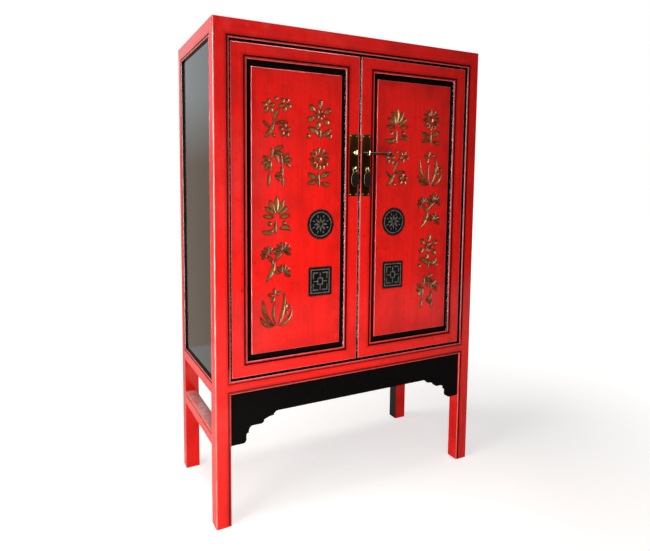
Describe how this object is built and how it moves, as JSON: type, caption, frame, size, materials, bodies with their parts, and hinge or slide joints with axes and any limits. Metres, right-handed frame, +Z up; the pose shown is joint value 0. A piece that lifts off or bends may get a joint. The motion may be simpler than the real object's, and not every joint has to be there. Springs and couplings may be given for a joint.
{
  "type": "chinese wedding cabinet",
  "caption": "Tall square-corner cabinet on legs with red lacquered posts, black side panels, a cusped apron and carved panel doors held by a sliding lock pin.",
  "frame": {"origin": "on the floor under the middle of the four legs", "axes": "+X to the right seen from the front, +Y towards the back, +Z up; the doors face -Y"},
  "size_m": [1.19, 0.4989, 1.8],
  "materials": {
    "red_lacquer": "satin lacquer, worn at the edges",
    "black_lacquer": "gloss lacquer",
    "inner_wood": "dull stained wood",
    "aged_brass": "dark patina",
    "worn_brass": "rubbed patina"
  },
  "bodies": {
    "case": {"post_front_left": "red_lacquer", "post_rear_left": "red_lacquer", "top_rail_left": "red_lacquer", "bottom_rail_left": "red_lacquer", "stretcher_left": "red_lacquer", "side_panel_left": "black_lacquer", "back_panel_left": "inner_wood", "shelf_bearers_left": "inner_wood", "apron_bracket_left": "black_lacquer", "post_front_right": "red_lacquer", "post_rear_right": "red_lacquer", "top_rail_right": "red_lacquer", "bottom_rail_right": "red_lacquer", "stretcher_right": "red_lacquer", "side_panel_right": "black_lacquer", "back_panel_right": "inner_wood", "shelf_bearers_right": "inner_wood", "apron_bracket_right": "black_lacquer", "top_rail_front": "red_lacquer", "top_rail_rear": "red_lacquer", "bottom_rail_front": "red_lacquer", "bottom_rail_rear": "red_lacquer", "back_muntin": "inner_wood", "top_panel": "inner_wood", "top_battens": "inner_wood", "floor_board": "inner_wood", "floor_battens": "inner_wood", "shelf_lower": "inner_wood", "shelf_upper": "inner_wood", "apron": "black_lacquer"},
    "left_door": {"left_door_outer_stile": "red_lacquer", "left_door_inner_stile": "red_lacquer", "left_door_top_rail": "red_lacquer", "left_door_bottom_rail": "red_lacquer", "left_door_board": "black_lacquer", "left_door_panel": "red_lacquer", "left_door_plate": "aged_brass", "left_door_staple": "worn_brass", "left_door_eye": "worn_brass", "left_door_rivets": "aged_brass"},
    "right_door": {"right_door_outer_stile": "red_lacquer", "right_door_inner_stile": "red_lacquer", "right_door_top_rail": "red_lacquer", "right_door_bottom_rail": "red_lacquer", "right_door_board": "black_lacquer", "right_door_panel": "red_lacquer", "right_door_plate": "aged_brass", "right_door_staple": "worn_brass", "right_door_eye": "worn_brass", "right_door_rivets": "aged_brass"},
    "left_pendant": {"left_pendant": "worn_brass"},
    "right_pendant": {"right_pendant": "worn_brass"},
    "lock_pin": {"lock_pin": "worn_brass"}
  },
  "joints": [
    {"name": "left_door_hinge", "type": "hinge", "parent": "case", "child": "left_door", "pos_m": [-0.519, -0.221, 0.544], "axis": [0, 0, -1], "range_deg": [0, 100]},
    {"name": "right_door_hinge", "type": "hinge", "parent": "case", "child": "right_door", "pos_m": [0.519, -0.221, 0.544], "axis": [0, 0, 1], "range_deg": [0, 100]},
    {"name": "left_pendant_swing", "type": "hinge", "parent": "left_door", "child": "left_pendant", "pos_m": [-0.029, -0.243, 1.304], "axis": [-1, 0, 0], "range_deg": [-4, 110]},
    {"name": "right_pendant_swing", "type": "hinge", "parent": "right_door", "child": "right_pendant", "pos_m": [0.029, -0.243, 1.304], "axis": [-1, 0, 0], "range_deg": [-4, 110]},
    {"name": "lock_pin_slide", "type": "slide", "parent": "right_door", "child": "lock_pin", "axis": [1, 0, 0], "range_m": [-0.058, 0.018]}
  ]
}
